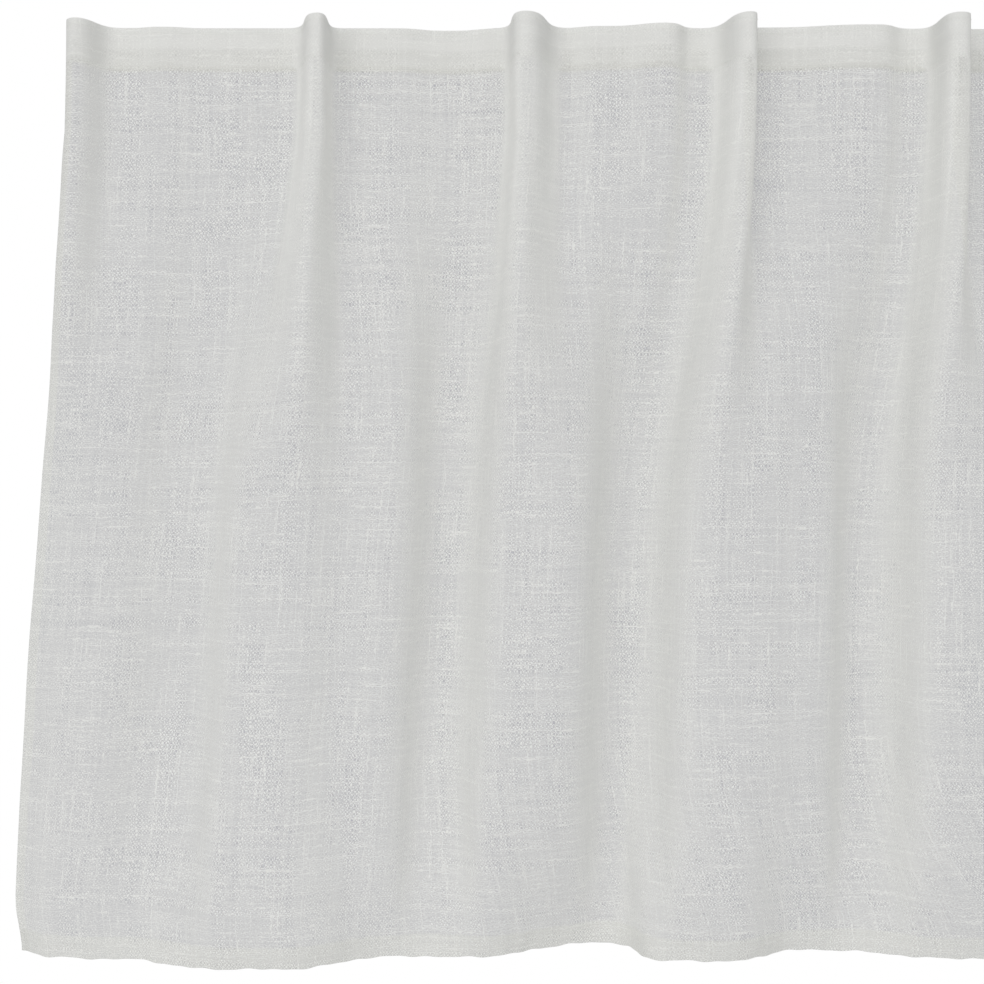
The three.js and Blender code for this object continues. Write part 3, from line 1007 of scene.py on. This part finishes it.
class VALANCE_OT_stage(bpy.types.Operator):
    """Makes the camera, the lights, the white backdrop and the pale floor"""

    bl_idname = "valance.stage"
    bl_label = "Stage"

    def execute(self, context):
        settings = context.scene.valance_stage
        context.scene.view_settings.view_transform = "Standard"
        self.camera(context, settings)
        aim = Vector((settings.camera_place[0], 0, settings.camera_place[2]))
        key = self.light("key_light", settings.key_place, settings.light_size, settings.key_power, aim)
        key.data.color = settings.key_colour
        self.light("top_light", settings.top_place, settings.light_size, settings.top_power, aim)
        self.backdrop(context, settings)
        self.floor(settings)
        return {"FINISHED"}

    def camera(self, context, settings):
        bpy.ops.object.camera_add(location=settings.camera_place, rotation=(math.pi / 2, 0, 0))
        camera = context.active_object
        camera.data.lens = settings.lens
        context.scene.camera = camera

    def light(self, name, place, size, power, aim):
        bpy.ops.object.light_add(type="AREA", location=place)
        light = bpy.context.active_object
        light.name = name
        light.data.size = size
        light.data.energy = power
        light.rotation_euler = (aim - Vector(place)).to_track_quat("-Z", "Y").to_euler()
        return light

    def backdrop(self, context, settings):
        """An even white backdrop that lights the cloth softly and looks a little darker through it."""
        world = bpy.data.worlds.new("backdrop")
        context.scene.world = world
        world.use_nodes = True
        tree = world.node_tree
        tree.nodes.clear()
        rays = tree.nodes.new("ShaderNodeLightPath")
        lights = tree.nodes.new("ShaderNodeBackground")
        lights.inputs["Color"].default_value = (*settings.room_colour, 1)
        lights.inputs["Strength"].default_value = settings.room_light
        white = tree.nodes.new("ShaderNodeBackground")
        white.inputs["Color"].default_value = (1, 1, 1, 1)
        behind = tree.nodes.new("ShaderNodeBackground")
        behind.inputs["Color"].default_value = (*settings.seen_through, 1)
        seen = tree.nodes.new("ShaderNodeMixShader")
        tree.links.new(rays.outputs["Transparent Depth"], seen.inputs[0])
        tree.links.new(white.outputs[0], seen.inputs[1])
        tree.links.new(behind.outputs[0], seen.inputs[2])
        shown = tree.nodes.new("ShaderNodeMixShader")
        tree.links.new(rays.outputs["Is Camera Ray"], shown.inputs[0])
        tree.links.new(lights.outputs[0], shown.inputs[1])
        tree.links.new(seen.outputs[0], shown.inputs[2])
        output = tree.nodes.new("ShaderNodeOutputWorld")
        tree.links.new(shown.outputs[0], output.inputs[0])

    def floor(self, settings):
        """A round pale floor that fades into the backdrop at its rim."""
        bpy.ops.object.select_all(action="DESELECT")
        radius = settings.floor_radius
        bpy.ops.mesh.primitive_circle_add(vertices=FLOOR_SIDES, radius=radius, fill_type="NGON")
        floor = bpy.context.active_object
        floor.name = floor.data.name = "floor"
        bpy.ops.object.mode_set(mode="EDIT")
        bpy.ops.mesh.select_all(action="SELECT")
        bpy.ops.transform.translate(value=(0, 0, -settings.floor_drop))
        bpy.ops.object.mode_set(mode="OBJECT")
        finish = Finish("floor")
        place = finish.node("ShaderNodeTexCoord").outputs["Object"]
        level = finish.node("ShaderNodeVectorMath", {"operation": "MULTIPLY"}, {0: place, 1: (1, 1, 0)})
        distance = finish.node("ShaderNodeVectorMath", {"operation": "LENGTH"}, {0: level.outputs[0]})
        fade = Amount(finish, distance.outputs["Value"]).rise(FADE_STARTS * radius, radius)
        matt = finish.node("ShaderNodeBsdfDiffuse", None, {"Color": (*settings.floor_colour, 1)})
        rays = finish.node("ShaderNodeLightPath")
        through = Amount(finish, rays.outputs["Transparent Depth"]).rise(0.0, 1.0)
        shown = finish.blend(through, (1, 1, 1, 1), (*settings.seen_through, 1))
        white = finish.node("ShaderNodeEmission", None, {"Color": shown, "Strength": 1.0})
        surface = finish.shader_mix(fade, matt.outputs[0], white.outputs[0])
        floor.data.materials.append(finish.end(surface))


class VALANCE_PT_sidebar(bpy.types.Panel):
    """Lists the valance's pieces"""

    bl_idname = "VALANCE_PT_sidebar"
    bl_label = "Valance"
    bl_space_type = "VIEW_3D"
    bl_region_type = "UI"
    bl_category = "Valance"

    def draw(self, context):
        for maker in OPERATORS:
            self.layout.operator(maker.bl_idname)
        for owner in PROPERTIES:
            group = getattr(context.scene, owner)
            box = self.layout.box()
            for key in group.__annotations__:
                box.prop(group, key)


PROPERTIES = {
    "valance_panel": ValancePanelSizes,
    "valance_tape": ValanceTapeSizes,
    "valance_stitches": ValanceStitchSizes,
    "valance_look": ValanceLook,
    "valance_stage": ValanceStageSettings,
}
OPERATORS = (VALANCE_OT_panel, VALANCE_OT_tape, VALANCE_OT_stitches, VALANCE_OT_stage)


def register():
    for cls in (*PROPERTIES.values(), *OPERATORS, VALANCE_PT_sidebar):
        bpy.utils.register_class(cls)
    for owner, group in PROPERTIES.items():
        setattr(bpy.types.Scene, owner, PointerProperty(type=group))


def unregister():
    for owner in PROPERTIES:
        delattr(bpy.types.Scene, owner)
    for cls in reversed((*PROPERTIES.values(), *OPERATORS, VALANCE_PT_sidebar)):
        bpy.utils.unregister_class(cls)


def main():
    register()
    bpy.ops.valance.panel()
    bpy.ops.valance.tape()
    bpy.ops.valance.stitches()
    bpy.ops.valance.stage()


if __name__ == "__main__":
    main()
